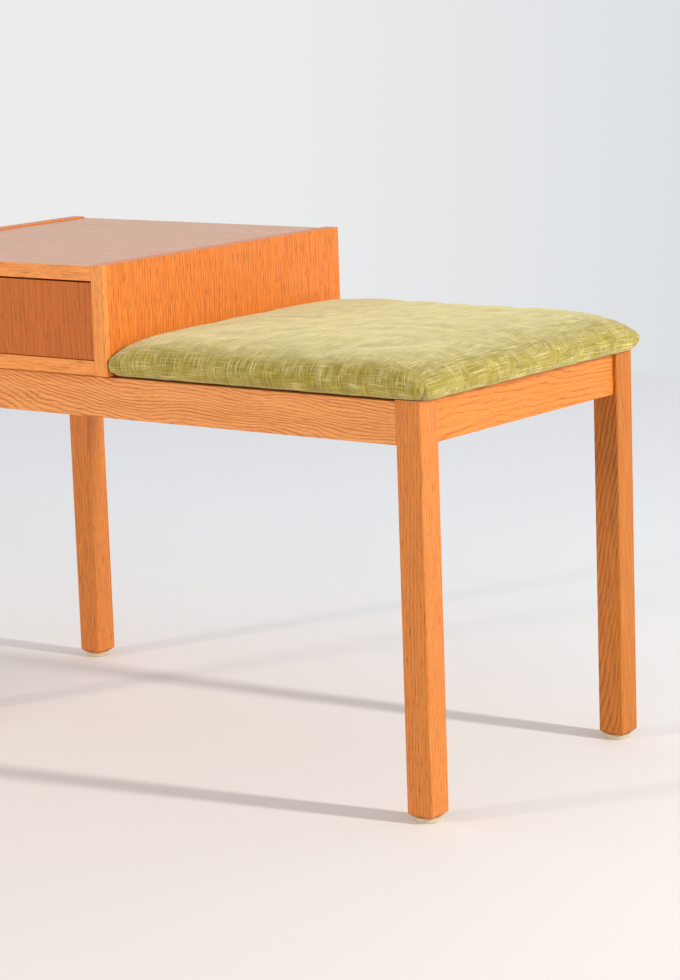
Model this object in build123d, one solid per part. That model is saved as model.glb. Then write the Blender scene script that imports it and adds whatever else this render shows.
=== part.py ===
from build123d import *
import os

# A telephone bench: a leg frame carries a low cabinet with one drawer and a padded seat.
# Millimetres.  X runs along the bench, with the cabinet at -X and the seat at +X.
# The drawer opens towards -Y, Z is up and the floor is z = 0.
# Every piece is drawn about the centre line of the leg frame, and save() then moves it
# back by half the knob's reach, which puts the origin under the middle of the whole bench.

# Bench and leg frame
bench_length = 800.0
frame_length = 780.0
frame_depth = 384.0
leg_width = 30.0
leg_top = 422.0
leg_ease = 2.0
foot_chamfer = 4.0
glide_diameter = 26.0
glide_height = 5.0
glide_chamfer = 0.8
rail_thickness = 20.0
rail_bottom = 377.0
rail_top = 420.0
rail_ease = 1.0
front_recess = 1.0
end_recess = 5.0
batten_width = 40.0
batten_height = 22.0
batten_places = {"cabinet_left": -300.0, "cabinet_right": -60.0, "seat_left": 60.0, "seat_right": 300.0}
block_reach = 60.0
block_end = 7.0
block_under_screw = 12.0
block_screw_place = 15.0
block_bottom = 379.0
block_height = 19.0

# Cabinet
cabinet_right = 0.0
cabinet_depth = 400.0
cabinet_top_z = 537.0
side_thickness = 17.0
top_step = 1.5
panel_thickness = 15.0
bottom_thickness = 15.5
lipping_depth = 6.0
lipping_ease = 0.6
back_thickness = 4.0
back_rebate = 8.0
runner_height = 10.0
runner_width = 7.0
runner_bottom = 470.0
stop_size = (20.0, 12.0, 17.5)

# Drawer
drawer_inset = 1.5
drawer_front_thickness = 16.0
drawer_edge_gap = 0.6
drawer_top_gap = 2.0
drawer_side_gap = 1.0
drawer_wall = 12.0
drawer_side_length = 352.5
drawer_side_bottom = 444.0
drawer_side_top = 512.0
drawer_back_top = 508.0
drawer_floor_bottom = 448.0
drawer_floor_thickness = 4.0
drawer_groove = 5.0
slide_gap = 0.4
knob_length = 20.0
knob_head_radius = 12.0
knob_base_radius = 7.0
knob_neck_radius = 5.5

# Seat
seat_gap = 0.8
seat_depth = 400.0
seat_bottom = 422.0
seat_top = 467.0
seat_corner = 20.0
seat_shoulder = 18.0
cover_thickness = 1.5
seat_board_thickness = 12.0
seat_board_inset = 12.0
seat_board_corner = 18.0
cover_return = 34.0

# Fasteners
dowel_radius = 4.0
dowel_in_leg = 14.0
dowel_in_rail = 22.0
dowel_heights = (388.0, 409.0)
small_dowel_radius = 3.0
screw_shank = 4.0
screw_head = 8.0
screw_slot = 1.0
runner_screw_shank = 3.0
runner_screw_head = 6.0
pin_shank = 1.6
pin_head = 3.0
pin_head_height = 0.6
nail_shank = 2.4
nail_head = 8.0
nail_head_bottom = 0.6
nail_head_height = 1.0
nail_top = 24.0
staple_width = 10.0
staple_wire = 0.8
staple_leg = 6.0

# Places worked out from the dimensions above
half_bench = bench_length / 2
half_frame = frame_length / 2
half_depth = frame_depth / 2
leg_inner_x = half_frame - leg_width
leg_inner_y = half_depth - leg_width
leg_centre_x = half_frame - leg_width / 2
leg_centre_y = half_depth - leg_width / 2
front_rail_y = half_depth - front_recess - rail_thickness / 2
end_rail_x = half_frame - end_recess - rail_thickness / 2
rail_inner_y = front_rail_y - rail_thickness / 2
rail_inner_x = end_rail_x - rail_thickness / 2
batten_bottom = leg_top - batten_height

cabinet_left = -half_bench
cabinet_front = -cabinet_depth / 2
cabinet_back_y = cabinet_depth / 2
inner_left = cabinet_left + side_thickness
inner_right = cabinet_right - side_thickness
cabinet_middle = (inner_left + inner_right) / 2
panel_front = cabinet_front + lipping_depth
top_surface = cabinet_top_z - top_step
opening_top = top_surface - panel_thickness
opening_bottom = leg_top + bottom_thickness
back_panel_y = cabinet_back_y - back_thickness

drawer_face = cabinet_front + drawer_inset
drawer_shoulder = drawer_face + drawer_front_thickness
drawer_end = drawer_shoulder + drawer_side_length
drawer_left = inner_left + drawer_side_gap
drawer_right = inner_right - drawer_side_gap
drawer_floor_top = drawer_floor_bottom + drawer_floor_thickness
front_bottom_z = opening_bottom + drawer_edge_gap
front_top_z = opening_top - drawer_top_gap
knob_z = (front_bottom_z + front_top_z) / 2
knob_reach = knob_length - drawer_inset

seat_left = cabinet_right + seat_gap
seat_right = half_bench
seat_half = seat_depth / 2
board_bottom = seat_bottom + cover_thickness
board_top = board_bottom + seat_board_thickness


def board(low, high):
    """A square-edged board between its low and high corners."""
    size = [b - a for a, b in zip(low, high)]
    middle = [(a + b) / 2 for a, b in zip(low, high)]
    return Pos(*middle) * Box(*size)


def rod(start, direction, length, radius):
    """A round rod from a start point."""
    return extrude(Plane(origin=start, z_dir=direction) * Circle(radius), length)


def turned(start, direction, outline):
    """A turned piece: an outline of (radius, distance) points spun about its axis."""
    face = make_face(Plane.XZ * Polyline([(0, outline[0][1]), *outline, (0, outline[-1][1])], close=True))
    return Location(Plane(origin=start, z_dir=direction)) * revolve(face, Axis.Z)


def screw_form(start, direction, length, shank=screw_shank, head=screw_head):
    """A countersunk wood screw before its slot is cut, with its head's face at the start."""
    taper = (head - shank) / 2
    outline = [(head / 2, 0), (shank / 2, taper), (shank / 2, length - shank), (shank / 8, length)]
    return turned(start, direction, outline)


def slotted(start, direction, form, head=screw_head):
    """The screw with the slot cut across its head."""
    slot = Box(2 * head, screw_slot, 2 * screw_slot)
    return form - Location(Plane(origin=start, z_dir=direction)) * slot


def pin_form(start, direction, length):
    """A panel pin with a small flat head."""
    outline = [(pin_head / 2, 0), (pin_head / 2, pin_head_height), (pin_shank / 2, pin_head_height)]
    return turned(start, direction, outline + [(pin_shank / 2, length)])


def group(pieces):
    """Separate solids kept together as one node."""
    return Compound([solid for piece in pieces for solid in piece.solids()])


def boxes_meet(one, other):
    """Whether two bounding boxes overlap."""
    apart_x = one.max.X < other.min.X or other.max.X < one.min.X
    apart_y = one.max.Y < other.min.Y or other.max.Y < one.min.Y
    apart_z = one.max.Z < other.min.Z or other.max.Z < one.min.Z
    return not (apart_x or apart_y or apart_z)


def drilled(piece, forms):
    """The piece with room cut for each fastener that enters it."""
    outer = piece.bounding_box()
    entering = [form for form in forms if boxes_meet(outer, form.bounding_box())]
    return piece - entering if entering else piece


def save(name, piece):
    """Write one node, moved so that the origin is under the middle of the bench."""
    export_step(Pos(0, knob_reach / 2, 0) * piece, f"parts/{name}.step")


def corners():
    """Name and signs of each corner of the leg frame."""
    for end, side_x in (("left", -1), ("right", 1)):
        for face, side_y in (("front", -1), ("back", 1)):
            yield f"{face}_{end}", side_x, side_y


# Leg frame

def leg(side_x, side_y):
    """A square leg with eased edges, chamfered all round at the foot."""
    x, y = side_x * leg_centre_x, side_y * leg_centre_y
    height = leg_top - glide_height
    post = Pos(x, y, glide_height + height / 2) * Box(leg_width, leg_width, height)
    post = chamfer(post.edges().group_by(Axis.Z)[0], foot_chamfer)
    rising_edges = [edge for edge in post.edges() if abs(edge.tangent_at(0.5).Z) > 0.1]
    return fillet(rising_edges, leg_ease)


def long_rail(side_y):
    """A front or back rail between the legs."""
    y = side_y * front_rail_y
    half = rail_thickness / 2
    rail = board((-leg_inner_x, y - half, rail_bottom), (leg_inner_x, y + half, rail_top))
    return fillet(rail.edges().filter_by(Axis.X), rail_ease)


def end_rail(side_x):
    """A rail between the front and back legs at one end."""
    x = side_x * end_rail_x
    half = rail_thickness / 2
    rail = board((x - half, -leg_inner_y, rail_bottom), (x + half, leg_inner_y, rail_top))
    return fillet(rail.edges().filter_by(Axis.Y), rail_ease)


def batten(x):
    """A cross batten between the long rails, standing up to the height of the legs."""
    half = batten_width / 2
    return board((x - half, -rail_inner_y, batten_bottom), (x + half, rail_inner_y, leg_top))


def corner_block(side_x, side_y):
    """A glue block in the corner, notched round the leg, with square ends on the rails."""
    start_x = leg_inner_x - block_reach
    start_y = leg_inner_y - block_reach
    points = [
        (start_x, rail_inner_y),
        (leg_inner_x, rail_inner_y),
        (leg_inner_x, leg_inner_y),
        (rail_inner_x, leg_inner_y),
        (rail_inner_x, start_y),
        (rail_inner_x - block_end, start_y),
        (start_x, rail_inner_y - block_end),
    ]
    outline = Polyline([(side_x * x, side_y * y) for x, y in points], close=True)
    return Pos(0, 0, block_bottom) * extrude(make_face(outline), block_height, dir=(0, 0, 1))


def glide(side_x, side_y):
    """A round pad under a leg, with a recess for the nail's head."""
    x, y = side_x * leg_centre_x, side_y * leg_centre_y
    pad = rod((x, y, 0), (0, 0, 1), glide_height, glide_diameter / 2)
    pad = chamfer(pad.edges().group_by(Axis.Z)[0], glide_chamfer)
    recess = rod((x, y, 0), (0, 0, 1), nail_head_bottom, nail_head / 2)
    return pad - recess


def glide_nail(side_x, side_y):
    """The nail that holds a glide, with its head above the floor."""
    neck = nail_head_bottom + nail_head_height
    outline = [(nail_head / 2, nail_head_bottom), (nail_head / 2, neck), (nail_shank / 2, neck)]
    start = (side_x * leg_centre_x, side_y * leg_centre_y, 0)
    return turned(start, (0, 0, 1), outline + [(nail_shank / 2, nail_top)])


def rail_dowel_forms():
    """Two dowels at each end of each rail."""
    forms = []
    length = dowel_in_leg + dowel_in_rail
    for _, side_x, side_y in corners():
        for z in dowel_heights:
            long_start = (side_x * (leg_inner_x + dowel_in_leg), side_y * front_rail_y, z)
            forms.append(rod(long_start, (-side_x, 0, 0), length, dowel_radius))
            end_start = (side_x * end_rail_x, side_y * (leg_inner_y + dowel_in_leg), z)
            forms.append(rod(end_start, (0, -side_y, 0), length, dowel_radius))
    return forms


def batten_dowel_forms():
    """Two dowels at each end of each batten."""
    in_rail, in_batten = 12.0, 16.0
    z = leg_top - batten_height / 2
    forms = []
    for x in batten_places.values():
        for side_y in (-1, 1):
            for offset in (-batten_width / 4, batten_width / 4):
                start = (x + offset, side_y * (rail_inner_y + in_rail), z)
                forms.append(rod(start, (0, -side_y, 0), in_rail + in_batten, dowel_radius))
    return forms


def corner_screw_places():
    """Start and direction of the two screws in each corner block."""
    z = block_bottom + block_height / 2
    places = []
    for _, side_x, side_y in corners():
        x = side_x * (leg_inner_x - block_reach + block_screw_place)
        y = side_y * (rail_inner_y - block_under_screw)
        places.append(((x, y, z), (0, side_y, 0)))
        x = side_x * (rail_inner_x - block_under_screw)
        y = side_y * (leg_inner_y - block_reach + block_screw_place)
        places.append(((x, y, z), (side_x, 0, 0)))
    return places


def counterbore(start, direction):
    """The round hole in front of a screw's head, out through the block's slanting face."""
    outward = tuple(-part for part in direction)
    return rod(start, outward, block_reach / 2, screw_head / 2)


def batten_screw_places(names):
    """Start and direction of the two screws that rise through each named batten."""
    screw_y = 110.0
    starts = [(batten_places[name], y, batten_bottom) for name in names for y in (-screw_y, screw_y)]
    return [(start, (0, 0, 1)) for start in starts]


# Cabinet

def cabinet_side(side_x):
    """A side panel of the cabinet, behind its front lipping."""
    outer, inner = (cabinet_left, inner_left) if side_x < 0 else (cabinet_right, inner_right)
    low_x, high_x = sorted((outer, inner))
    panel = board((low_x, panel_front, leg_top), (high_x, cabinet_back_y, cabinet_top_z))
    top_edges = panel.edges().group_by(Axis.Z)[-1].filter_by(Axis.Y)
    return fillet(top_edges, lipping_ease) - cabinet_back()


def side_lipping(side_x):
    """The solid strip that covers a side panel's front edge."""
    low_x = cabinet_left if side_x < 0 else inner_right
    strip = board(
        (low_x, cabinet_front, leg_top), (low_x + side_thickness, panel_front, cabinet_top_z)
    )
    front_edges = strip.edges().group_by(Axis.Y)[0].filter_by(Axis.Z)
    strip = fillet(front_edges, lipping_ease)
    top_edges = strip.edges().group_by(Axis.Z)[-1].filter_by(Axis.Y)
    return fillet(top_edges, lipping_ease)


def cross_panel(low_z, high_z):
    """The top or bottom panel between the sides, behind its lipping."""
    panel = board((inner_left, panel_front, low_z), (inner_right, cabinet_back_y, high_z))
    return panel - cabinet_back()


def cross_lipping(low_z, high_z):
    """The solid strip on the front edge of the top or bottom panel."""
    strip = board((inner_left, cabinet_front, low_z), (inner_right, panel_front, high_z))
    front_edges = strip.edges().group_by(Axis.Y)[0].filter_by(Axis.X)
    return fillet(front_edges, lipping_ease)


def cabinet_back():
    """The thin back panel, let into rebates in the sides, top and bottom."""
    low = (inner_left - back_rebate, back_panel_y, opening_bottom - back_rebate)
    high = (inner_right + back_rebate, cabinet_back_y, opening_top + back_rebate)
    return board(low, high)


def runner(side_x):
    """A hardwood strip on the side panel, which the drawer's groove runs on."""
    start_y, end_y = drawer_shoulder + 2.5, cabinet_back_y - 15.0
    low_x = inner_left if side_x < 0 else inner_right - runner_width
    low = (low_x, start_y, runner_bottom)
    return board(low, (low_x + runner_width, end_y, runner_bottom + runner_height))


def drawer_stops():
    """Two blocks behind the drawer's sides, which stop it when it is shut."""
    width, depth, height = stop_size
    start_y = drawer_end + slide_gap
    blocks = []
    for low_x in (inner_left, inner_right - width):
        low = (low_x, start_y, opening_bottom)
        blocks.append(board(low, (low_x + width, start_y + depth, opening_bottom + height)))
    return blocks


def cabinet_dowel_forms():
    """Three dowels at each end of the top and bottom panels."""
    in_side, in_panel = 11.0, 17.0
    heights = ((leg_top + opening_bottom) / 2, (opening_top + top_surface) / 2)
    forms = []
    for x, direction in ((inner_left - in_side, 1), (inner_right + in_side, -1)):
        for y in (-150.0, 0.0, 150.0):
            for z in heights:
                forms.append(rod((x, y, z), (direction, 0, 0), in_side + in_panel, dowel_radius))
    return forms


def back_pin_forms():
    """Pins round the edge of the back panel, into the rebates."""
    pin_length = 18.0
    edge = back_rebate / 2
    upright_x = (inner_left - edge, inner_right + edge)
    level_z = (opening_bottom - edge, opening_top + edge)
    places = [(x, z) for x in upright_x for z in (455.0, 503.0)]
    places += [(cabinet_middle + offset, z) for offset in (-120.0, 0.0, 120.0) for z in level_z]
    return [pin_form((x, cabinet_back_y, z), (0, -1, 0), pin_length) for x, z in places]


def runner_screw_places():
    """Start and direction of the three screws in each runner."""
    z = runner_bottom + runner_height / 2
    faces = ((inner_left + runner_width, -1), (inner_right - runner_width, 1))
    return [((x, y, z), (direction, 0, 0)) for x, direction in faces for y in (-150.0, 0.0, 150.0)]


# Drawer

def drawer_front():
    """The veneered front, inset in the cabinet, grooved for the drawer's bottom."""
    low = (inner_left + drawer_edge_gap, drawer_face, front_bottom_z)
    high = (inner_right - drawer_edge_gap, drawer_shoulder, front_top_z)
    panel = board(low, high)
    face_edges = panel.edges().group_by(Axis.Y)[0]
    return fillet(face_edges, lipping_ease / 2) - drawer_bottom()


def drawer_side(side_x):
    """A drawer side with a running groove outside and a groove for the bottom inside."""
    low_x = drawer_left if side_x < 0 else drawer_right - drawer_wall
    low = (low_x, drawer_shoulder, drawer_side_bottom)
    side = board(low, (low_x + drawer_wall, drawer_end, drawer_side_top))
    depth = runner_width - drawer_side_gap + slide_gap
    groove_x = low_x if side_x < 0 else low_x + drawer_wall - depth
    groove_low = (groove_x, drawer_shoulder, runner_bottom - slide_gap)
    groove_high = (groove_x + depth, drawer_end, runner_bottom + runner_height + slide_gap)
    return side - board(groove_low, groove_high) - drawer_bottom()


def drawer_back():
    """The back of the drawer, standing on its bottom between the sides."""
    low = (drawer_left + drawer_wall, drawer_end - drawer_wall, drawer_floor_top)
    return board(low, (drawer_right - drawer_wall, drawer_end, drawer_back_top))


def drawer_bottom():
    """The plywood bottom, in grooves on three sides and pinned under the back."""
    inset = drawer_wall - drawer_groove
    low = (drawer_left + inset, drawer_shoulder - drawer_groove, drawer_floor_bottom)
    return board(low, (drawer_right - inset, drawer_end, drawer_floor_top))


def drawer_knob():
    """A turned knob: a foot, a slim neck and a round head with a low domed face."""
    neck_z, rim_z, dome_z = 5.0, 13.5, knob_length - 1.2
    throat = (knob_neck_radius + 1, neck_z + 3.5)
    rim = (knob_head_radius, rim_z)
    shoulder = (knob_head_radius - 4, dome_z)
    lines = [
        Line((0, 0), (knob_base_radius, 0)),
        ThreePointArc((knob_base_radius, 0), (knob_neck_radius, neck_z), throat),
        ThreePointArc(throat, (knob_head_radius - 1.6, neck_z + 5.5), rim),
        ThreePointArc(rim, (knob_head_radius - 1.2, rim_z + 3.2), shoulder),
        TangentArc((0, knob_length), shoulder, tangent=(1, 0)),
        Line((0, knob_length), (0, 0)),
    ]
    face = make_face([Plane.XZ * line for line in lines])
    start = Plane(origin=(cabinet_middle, drawer_face, knob_z), z_dir=(0, -1, 0))
    return Location(start) * revolve(face, Axis.Z)


def drawer_dowel_forms():
    """Dowels from the front into each side, and from each side into the back."""
    in_front, in_side_end, in_side, in_back = 10.0, 18.0, 8.0, 12.0
    back_y = drawer_end - drawer_wall / 2
    forms = []
    for wall_x, direction in ((drawer_left + drawer_wall, 1), (drawer_right - drawer_wall, -1)):
        centre_x = wall_x - direction * drawer_wall / 2
        for z in (457.0, 500.0):
            start = (centre_x, drawer_shoulder - in_front, z)
            forms.append(rod(start, (0, 1, 0), in_front + in_side_end, small_dowel_radius))
            start = (wall_x - direction * in_side, back_y, z + 2.0)
            forms.append(rod(start, (direction, 0, 0), in_side + in_back, small_dowel_radius))
    return forms


def drawer_pin_forms():
    """Pins up through the drawer's bottom into its back."""
    pin_length = 18.0
    y = drawer_end - drawer_wall / 2
    offsets = (-140.0, -47.0, 47.0, 140.0)
    starts = [(cabinet_middle + x, y, drawer_floor_bottom) for x in offsets]
    return [pin_form(start, (0, 0, 1), pin_length) for start in starts]


# Seat

def seat_form(inset):
    """The seat's outside drawn in by an inset, with round corners and shoulders."""
    low = (seat_left + inset, -seat_half + inset, seat_bottom + inset)
    block = board(low, (seat_right - inset, seat_half - inset, seat_top - inset))
    block = fillet(block.edges().filter_by(Axis.Z), seat_corner - inset)
    return fillet(block.edges().group_by(Axis.Z)[-1], seat_shoulder - inset)


def seat_board():
    """The plywood board, set in from the cover so that the foam wraps its edges."""
    low = (seat_left + seat_board_inset, -seat_half + seat_board_inset, board_bottom)
    block = board(low, (seat_right - seat_board_inset, seat_half - seat_board_inset, board_top))
    return fillet(block.edges().filter_by(Axis.Z), seat_board_corner)


def seat_lining():
    """The dust cloth inside the turned-under edge of the cover."""
    low = (seat_left + cover_return, -seat_half + cover_return, seat_bottom)
    return board(low, (seat_right - cover_return, seat_half - cover_return, board_bottom))


def staple_form(x, y, along_x):
    """One staple, pressed flush with the underside and driven up into the board."""
    half_wire = staple_wire / 2
    crown = board((-staple_width / 2, -half_wire, 0), (staple_width / 2, half_wire, staple_wire))
    prongs = []
    for end in (-1, 1):
        prong = board((-half_wire, -half_wire, 0), (half_wire, half_wire, staple_leg))
        prongs.append(Pos(end * (staple_width - staple_wire) / 2, 0, 0) * prong)
    turn = 0 if along_x else 90
    return Pos(x, y, seat_bottom) * Rot(0, 0, turn) * (crown + prongs)


def staple_forms():
    """A row of staples along each turned-under edge."""
    row_inset = cover_return - 8.0
    middle_x = (seat_left + seat_right) / 2
    reach_x = (seat_right - seat_left) / 2 - row_inset
    reach_y = seat_half - row_inset
    steps = [-0.75, -0.45, -0.15, 0.15, 0.45, 0.75]
    forms = []
    for step in steps:
        for side in (-1, 1):
            forms.append(staple_form(middle_x + step * reach_x, side * reach_y, True))
            forms.append(staple_form(middle_x + side * reach_x, step * reach_y, False))
    return forms


def main():
    os.makedirs("parts", exist_ok=True)

    # Fasteners first: the pieces are then cut to take them.
    corner_places = corner_screw_places()
    cabinet_places = batten_screw_places(["cabinet_left", "cabinet_right"])
    seat_places = batten_screw_places(["seat_left", "seat_right"])
    runner_places = runner_screw_places()
    knob_place = ((cabinet_middle, drawer_shoulder, knob_z), (0, -1, 0))
    corner_forms = [screw_form(*place, 28.0) for place in corner_places]
    counterbores = [counterbore(*place) for place in corner_places]
    cabinet_forms = [screw_form(*place, 33.0) for place in cabinet_places]
    seat_forms = [screw_form(*place, 33.0) for place in seat_places]
    runner_sizes = (18.0, runner_screw_shank, runner_screw_head)
    runner_forms = [screw_form(*place, *runner_sizes) for place in runner_places]
    knob_form = screw_form(*knob_place, 28.0)
    rail_dowels = rail_dowel_forms()
    batten_dowels = batten_dowel_forms()
    cabinet_dowels = cabinet_dowel_forms()
    back_pins = back_pin_forms()
    drawer_dowels = drawer_dowel_forms()
    drawer_pins = drawer_pin_forms()
    staples = staple_forms()
    nails = [glide_nail(side_x, side_y) for _, side_x, side_y in corners()]

    frame_forms = rail_dowels + batten_dowels + corner_forms + cabinet_forms + seat_forms + nails
    for name, side_x, side_y in corners():
        save(f"leg_{name}", drilled(leg(side_x, side_y), frame_forms))
        save(f"corner_block_{name}", drilled(corner_block(side_x, side_y), corner_forms + counterbores))
        save(f"glide_{name}", drilled(glide(side_x, side_y), nails))
    save("rail_front", drilled(long_rail(-1), frame_forms))
    save("rail_back", drilled(long_rail(1), frame_forms))
    save("rail_left", drilled(end_rail(-1), frame_forms))
    save("rail_right", drilled(end_rail(1), frame_forms))
    for name, x in batten_places.items():
        save(f"batten_{name}", drilled(batten(x), frame_forms))
    save("rail_dowels", group(rail_dowels))
    save("batten_dowels", group(batten_dowels))
    save("glide_nails", group(nails))
    for name, places, forms in (
        ("corner_screws", corner_places, corner_forms),
        ("cabinet_screws", cabinet_places, cabinet_forms),
        ("seat_screws", seat_places, seat_forms),
    ):
        save(name, group([slotted(*place, form) for place, form in zip(places, forms)]))

    case_forms = cabinet_dowels + back_pins + runner_forms + cabinet_forms
    for name, side_x in (("left", -1), ("right", 1)):
        save(f"cabinet_side_{name}", drilled(cabinet_side(side_x), case_forms))
        save(f"side_lipping_{name}", side_lipping(side_x))
        save(f"runner_{name}", drilled(runner(side_x), runner_forms))
    save("cabinet_top", drilled(cross_panel(opening_top, top_surface), case_forms))
    save("cabinet_bottom", drilled(cross_panel(leg_top, opening_bottom), case_forms))
    save("top_lipping", cross_lipping(opening_top, top_surface))
    save("bottom_lipping", cross_lipping(leg_top, opening_bottom))
    save("cabinet_back", drilled(cabinet_back(), back_pins))
    save("cabinet_dowels", group(cabinet_dowels))
    save("back_pins", group(back_pins))
    save("drawer_stops", group(drawer_stops()))
    runner_pairs = zip(runner_places, runner_forms)
    save("runner_screws", group([slotted(*place, form, runner_screw_head) for place, form in runner_pairs]))

    drawer_forms = drawer_dowels + drawer_pins + [knob_form]
    save("drawer_front", drilled(drawer_front(), drawer_forms))
    save("drawer_side_left", drilled(drawer_side(-1), drawer_forms))
    save("drawer_side_right", drilled(drawer_side(1), drawer_forms))
    save("drawer_back", drilled(drawer_back(), drawer_forms))
    save("drawer_bottom", drilled(drawer_bottom(), drawer_pins))
    save("drawer_knob", drilled(drawer_knob(), [knob_form]))
    save("knob_screw", slotted(*knob_place, knob_form))
    save("drawer_dowels", group(drawer_dowels))
    save("drawer_pins", group(drawer_pins))

    under_forms = seat_forms + staples
    stuffing = seat_form(cover_thickness)
    cover = seat_form(0) - stuffing - seat_lining()
    save("seat_board", drilled(seat_board(), under_forms))
    save("seat_foam", stuffing - seat_board())
    save("seat_cover", drilled(cover, staples))
    save("seat_lining", drilled(seat_lining(), seat_forms))
    save("seat_staples", group(staples))


main()
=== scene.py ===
# %% [markdown]
# # A telephone bench in oiled oak and slubbed velvet
# The bench is a low leg frame that carries a cabinet with one drawer and a padded seat.
# The joinery comes ready made as a fixed frame of separate pieces, each in its true place.
# This lesson gives every piece its wood, metal or cloth, stuffs the seat cushion with a
# cloth simulation, and stages the bench on a pale floor. Everything is in metres.

import math

import bmesh
import bpy
import numpy as np
from mathutils import Matrix, Vector


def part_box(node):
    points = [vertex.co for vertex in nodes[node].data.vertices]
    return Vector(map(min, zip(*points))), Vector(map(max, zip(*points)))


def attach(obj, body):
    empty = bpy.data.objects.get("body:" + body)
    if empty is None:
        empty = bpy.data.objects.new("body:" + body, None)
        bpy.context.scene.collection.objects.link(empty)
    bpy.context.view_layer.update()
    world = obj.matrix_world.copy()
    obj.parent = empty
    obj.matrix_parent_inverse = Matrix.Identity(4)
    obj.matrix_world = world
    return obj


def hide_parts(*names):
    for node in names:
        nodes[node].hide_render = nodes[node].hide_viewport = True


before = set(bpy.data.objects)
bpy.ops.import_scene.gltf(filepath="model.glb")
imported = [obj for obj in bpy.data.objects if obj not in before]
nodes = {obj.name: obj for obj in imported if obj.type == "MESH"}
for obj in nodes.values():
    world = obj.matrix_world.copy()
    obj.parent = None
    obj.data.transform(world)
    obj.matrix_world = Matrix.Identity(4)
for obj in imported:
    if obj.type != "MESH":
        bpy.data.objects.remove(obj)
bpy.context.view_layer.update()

# %% [markdown]
# The camera stands at the seat end, a little above table height, and looks down along
# the bench with a long lens, as a furniture seller would. A long lens keeps the legs nearly
# parallel. The camera is placed by turning it first about its own axis, then down, then
# round, because that order keeps the three angles independent.

# %% The camera
camera_place = Vector((2.0416, -2.4689, 0.8727))
camera_turn, camera_dip, camera_roll = math.radians(37.45), math.radians(10.72), math.radians(-1.98)
camera_lens = 109.8
bpy.ops.object.select_all(action="DESELECT")
bpy.ops.object.camera_add()
camera = bpy.context.object
camera.name = "camera"
camera.data.lens = camera_lens
camera.data.clip_end = 30
camera.data.dof.use_dof = False
camera.matrix_world = (
    Matrix.Translation(camera_place)
    @ Matrix.Rotation(camera_turn, 4, "Z")
    @ Matrix.Rotation(math.pi / 2 - camera_dip, 4, "X")
    @ Matrix.Rotation(camera_roll, 4, "Z")
)
bpy.context.scene.camera = camera
print("camera at", tuple(round(v, 2) for v in camera_place))

# %% [markdown]
# Colours are written as sRGB hex, which is what a colour picker shows. Blender's shaders
# work in linear light, so one function turns the one into the other. A second small
# function adds a node, sets its values and joins its inputs, which keeps each recipe short.

# %% Colour and node helpers
def linear(code, alpha=1.0):
    """Linear RGBA from an sRGB hex code such as 'C88A4A'."""
    parts = [int(code[i:i + 2], 16) / 255 for i in (0, 2, 4)]
    return tuple(p / 12.92 if p <= 0.04045 else ((p + 0.055) / 1.055) ** 2.4 for p in parts) + (alpha,)


def add_node(tree, kind, values=None, links=None, stops=None, **settings):
    """Adds a node, with its settings, its socket values, its links and, on a ramp, its stops."""
    made = tree.nodes.new(kind)
    for name, value in settings.items():
        setattr(made, name, value)
    for socket, value in (values or {}).items():
        made.inputs[socket].default_value = value
    for socket, output in (links or {}).items():
        tree.links.new(output, made.inputs[socket])
    if stops:
        ramp = made.color_ramp
        for place, colour in stops[1:-1]:
            ramp.elements.new(place)
        for element, (place, colour) in zip(ramp.elements, stops):
            element.position = place
            element.color = colour
    return made


def new_material(name):
    """An empty node material with a Principled shader that is joined to its output."""
    material = bpy.data.materials.new(name)
    material.use_nodes = True
    tree = material.node_tree
    tree.nodes.clear()
    shader = add_node(tree, "ShaderNodeBsdfPrincipled")
    add_node(tree, "ShaderNodeOutputMaterial", links={"Surface": shader.outputs[0]})
    return material, tree, shader


def grey(value):
    """A grey ramp stop."""
    return (value, value, value, 1.0)


def dress(name, material):
    """Gives a piece of joinery its material."""
    slots = nodes[name].material_slots
    for slot in slots:
        slot.material = material
    if not slots:
        nodes[name].data.materials.append(material)


# %% [markdown]
# Oak is a ring-porous wood. Each year it lays down a band of wide pores and then a band of
# dense late wood, so a board shows dark broken lines between smooth lighter bands. Where
# the saw passes near the pith the lines turn into arches, and far from it they run straight.
# So the wood here is a solid one: rings round a pith line that stands somewhere beside the
# board, leaning and wobbling as a real stem does, and each face shows where it cuts them.
#
# A noise texture's scale is how many of its waves fit in a metre. Each scale below is given
# as such a count, first across the grain and then along it, and a comment gives the same
# size in millimetres. Pores are short dashes along the grain. A real pore is 0.3 mm wide, and
# is drawn 0.9 mm wide so that it still shows from across a room.

# %% Solid oak
ACROSS_AND_ALONG = {"x": (1, 2, 0), "y": (0, 2, 1), "z": (0, 1, 2)}
stem_wobble = (9, 4)  # 110 mm across, 250 mm along
weak_years = (50, 6)  # 20 mm across, 170 mm along
fibres = (700, 18)  # 1.4 mm across, 56 mm along
pore_dashes = (1100, 70)  # 0.9 mm across, 14 mm along
pore_depth = 0.0003


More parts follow.
